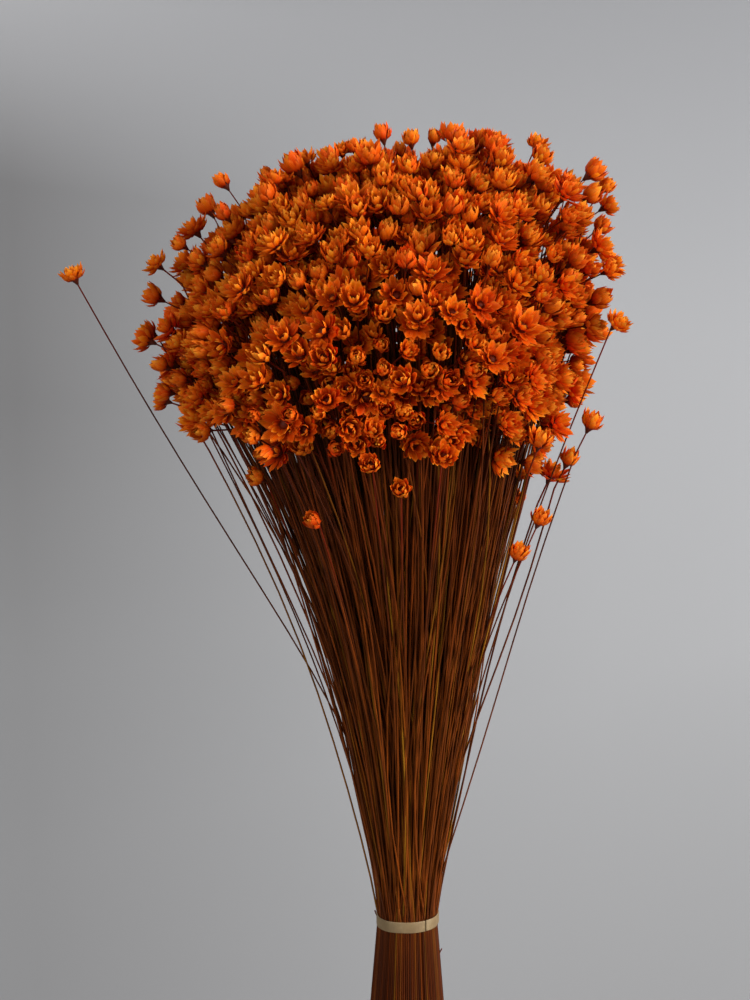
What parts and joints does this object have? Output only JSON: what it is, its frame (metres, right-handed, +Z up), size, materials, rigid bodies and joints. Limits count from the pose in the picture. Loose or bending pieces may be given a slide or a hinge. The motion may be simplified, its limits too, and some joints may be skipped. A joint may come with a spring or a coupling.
{
  "type": "vase of dried flowers",
  "caption": "Tied bunch of thin wiry stems with small orange everlasting heads, fanned into a dome, standing in a plain round ceramic vase.",
  "frame": {"origin": "centre of the vase's foot, on the surface that it stands on", "axes": "+Z up along the vase's axis; -Y is the front, the side that the picture shows; +X is to the right seen from the front"},
  "size_m": [0.2304, 0.1799, 0.4894],
  "materials": {
    "sprigs": "dry red-brown stems with matt papery orange heads",
    "tie_band": "matt cream rubber",
    "vase": "matt off-white stoneware"
  },
  "bodies": {
    "root": {"spray_core": "sprigs", "spray_inner_01": "sprigs", "spray_inner_02": "sprigs", "spray_inner_03": "sprigs", "spray_inner_04": "sprigs", "spray_inner_05": "sprigs", "spray_inner_06": "sprigs", "spray_inner_07": "sprigs", "spray_middle_01": "sprigs", "spray_middle_02": "sprigs", "spray_middle_03": "sprigs", "spray_middle_04": "sprigs", "spray_middle_05": "sprigs", "spray_middle_06": "sprigs", "spray_middle_07": "sprigs", "spray_middle_08": "sprigs", "spray_middle_09": "sprigs", "spray_middle_10": "sprigs", "spray_middle_11": "sprigs", "spray_middle_12": "sprigs", "spray_middle_13": "sprigs", "spray_middle_14": "sprigs", "spray_outer_01": "sprigs", "spray_outer_02": "sprigs", "spray_outer_03": "sprigs", "spray_outer_04": "sprigs", "spray_outer_05": "sprigs", "spray_outer_06": "sprigs", "spray_outer_07": "sprigs", "spray_outer_08": "sprigs", "spray_outer_09": "sprigs", "spray_outer_10": "sprigs", "spray_outer_11": "sprigs", "spray_outer_12": "sprigs", "spray_outer_13": "sprigs", "spray_outer_14": "sprigs", "spray_outer_15": "sprigs", "spray_outer_16": "sprigs", "spray_outer_17": "sprigs", "spray_outer_18": "sprigs", "spray_outer_19": "sprigs", "spray_outer_20": "sprigs", "spray_outer_21": "sprigs", "stray_sprig_left": "sprigs", "stray_sprig_right": "sprigs", "side_sprig_upper_left": "sprigs", "low_sprig_far_left": "sprigs", "low_sprig_left": "sprigs", "low_sprig_front_left": "sprigs", "low_sprig_front": "sprigs", "low_sprig_front_right": "sprigs", "low_sprig_right": "sprigs", "low_sprig_lower_right": "sprigs", "low_sprig_back_left": "sprigs", "low_sprig_back_right": "sprigs", "tie_band": "tie_band", "vase": "vase"}
  },
  "joints": []
}
